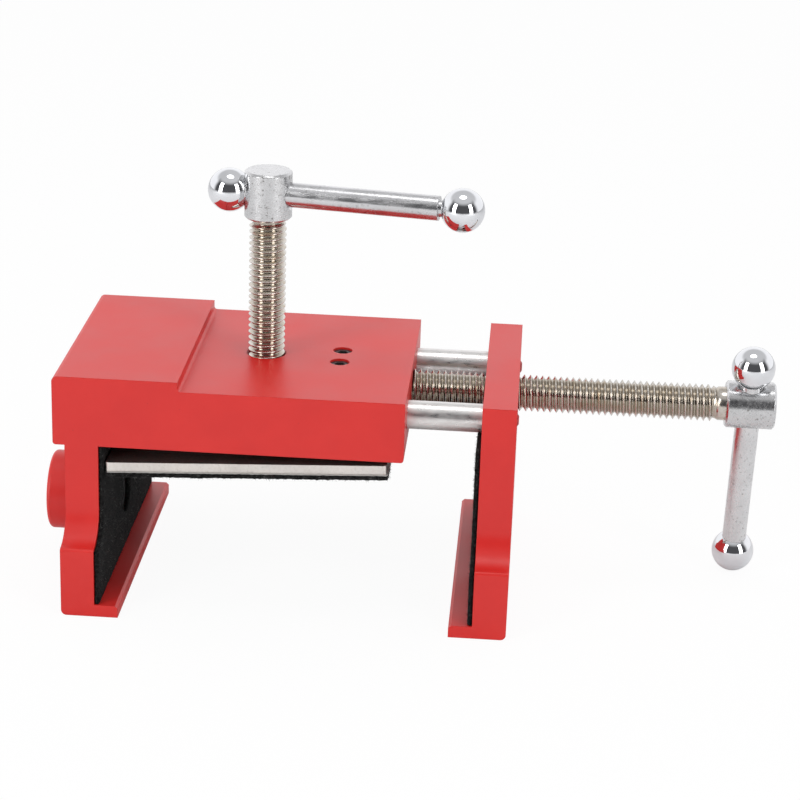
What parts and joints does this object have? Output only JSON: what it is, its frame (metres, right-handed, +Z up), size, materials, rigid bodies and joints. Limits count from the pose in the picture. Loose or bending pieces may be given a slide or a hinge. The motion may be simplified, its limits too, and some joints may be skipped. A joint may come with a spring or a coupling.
{
  "type": "face frame clamp",
  "caption": "Woodworking face-frame clamp: red jaws on guide rods, a horizontal clamp screw and a press screw with a padded plate, each turned by a sliding T-handle.",
  "frame": {"origin": "fixed jaw's clamping face, mid-width, at the level of the undersides of the feet", "axes": "+X from the fixed jaw to the movable jaw, +Y across the jaws towards the back, +Z up from the feet"},
  "size_m": [0.1893, 0.0822, 0.108],
  "materials": {
    "red_paint": "satin",
    "felt": "matte",
    "rod_steel": "polished",
    "thread_nickel": "polished",
    "satin_zinc": "satin",
    "ball_chrome": "polished",
    "plate_steel": "satin",
    "black_oxide": "satin"
  },
  "bodies": {
    "fixed_jaw": {"main_body": "red_paint", "fixed_jaw_pad": "felt", "drill_guide": "red_paint", "set_screw_front": "black_oxide", "set_screw_rear": "black_oxide"},
    "movable_jaw": {"movable_jaw": "red_paint", "movable_jaw_pad": "felt", "guide_rod_front": "rod_steel", "guide_rod_rear": "rod_steel", "rod_screw_front": "red_paint", "rod_screw_rear": "red_paint"},
    "clamp_screw": {"clamp_screw": "thread_nickel", "clamp_hub": "satin_zinc"},
    "clamp_handle": {"clamp_t_bar": "satin_zinc", "clamp_ball_upper": "ball_chrome", "clamp_ball_lower": "ball_chrome"},
    "press_shoe": {"swivel_washer": "satin_zinc"},
    "press_screw": {"press_screw": "thread_nickel", "press_hub": "satin_zinc", "retaining_clip": "satin_zinc"},
    "press_handle": {"press_t_bar": "satin_zinc", "press_ball_left": "ball_chrome", "press_ball_right": "ball_chrome"},
    "pressure_plate": {"pressure_plate": "plate_steel", "pressure_plate_pad": "felt"}
  },
  "joints": [
    {"name": "clamp_spin", "type": "hinge", "parent": "fixed_jaw", "child": "clamp_screw", "pos_m": [0.058, 0, 0.0515], "axis": [1, 0, 0], "range_deg": [-9900, 3850]},
    {"name": "jaw_slide", "type": "slide", "parent": "fixed_jaw", "child": "movable_jaw", "axis": [1, 0, 0], "range_m": [-0.0172, 0.045]},
    {"name": "clamp_handle_slide", "type": "slide", "parent": "clamp_screw", "child": "clamp_handle", "axis": [0, -0.2226, 0.9749], "range_m": [-0.001, 0.0355]},
    {"name": "press_travel", "type": "slide", "parent": "fixed_jaw", "child": "press_shoe", "axis": [0, 0, 1], "range_m": [-0.028, 0.0005]},
    {"name": "press_spin", "type": "hinge", "parent": "press_shoe", "child": "press_screw", "pos_m": [0.0384, 0, 0.06], "axis": [0, 0, 1], "range_deg": [-6300, 110]},
    {"name": "press_handle_slide", "type": "slide", "parent": "press_screw", "child": "press_handle", "axis": [-0.9892, 0.1462, 0], "range_m": [0, 0.04]},
    {"name": "plate_tilt", "type": "hinge", "parent": "press_shoe", "child": "pressure_plate", "pos_m": [0.0384, 0, 0.04075], "axis": [0, 1, 0], "range_deg": [0, 5.1]}
  ],
  "couplings": [
    {"joint": "jaw_slide", "follows": "clamp_spin", "m_per_rad": -0.00025266},
    {"joint": "press_travel", "follows": "press_spin", "m_per_rad": 0.00025266}
  ]
}
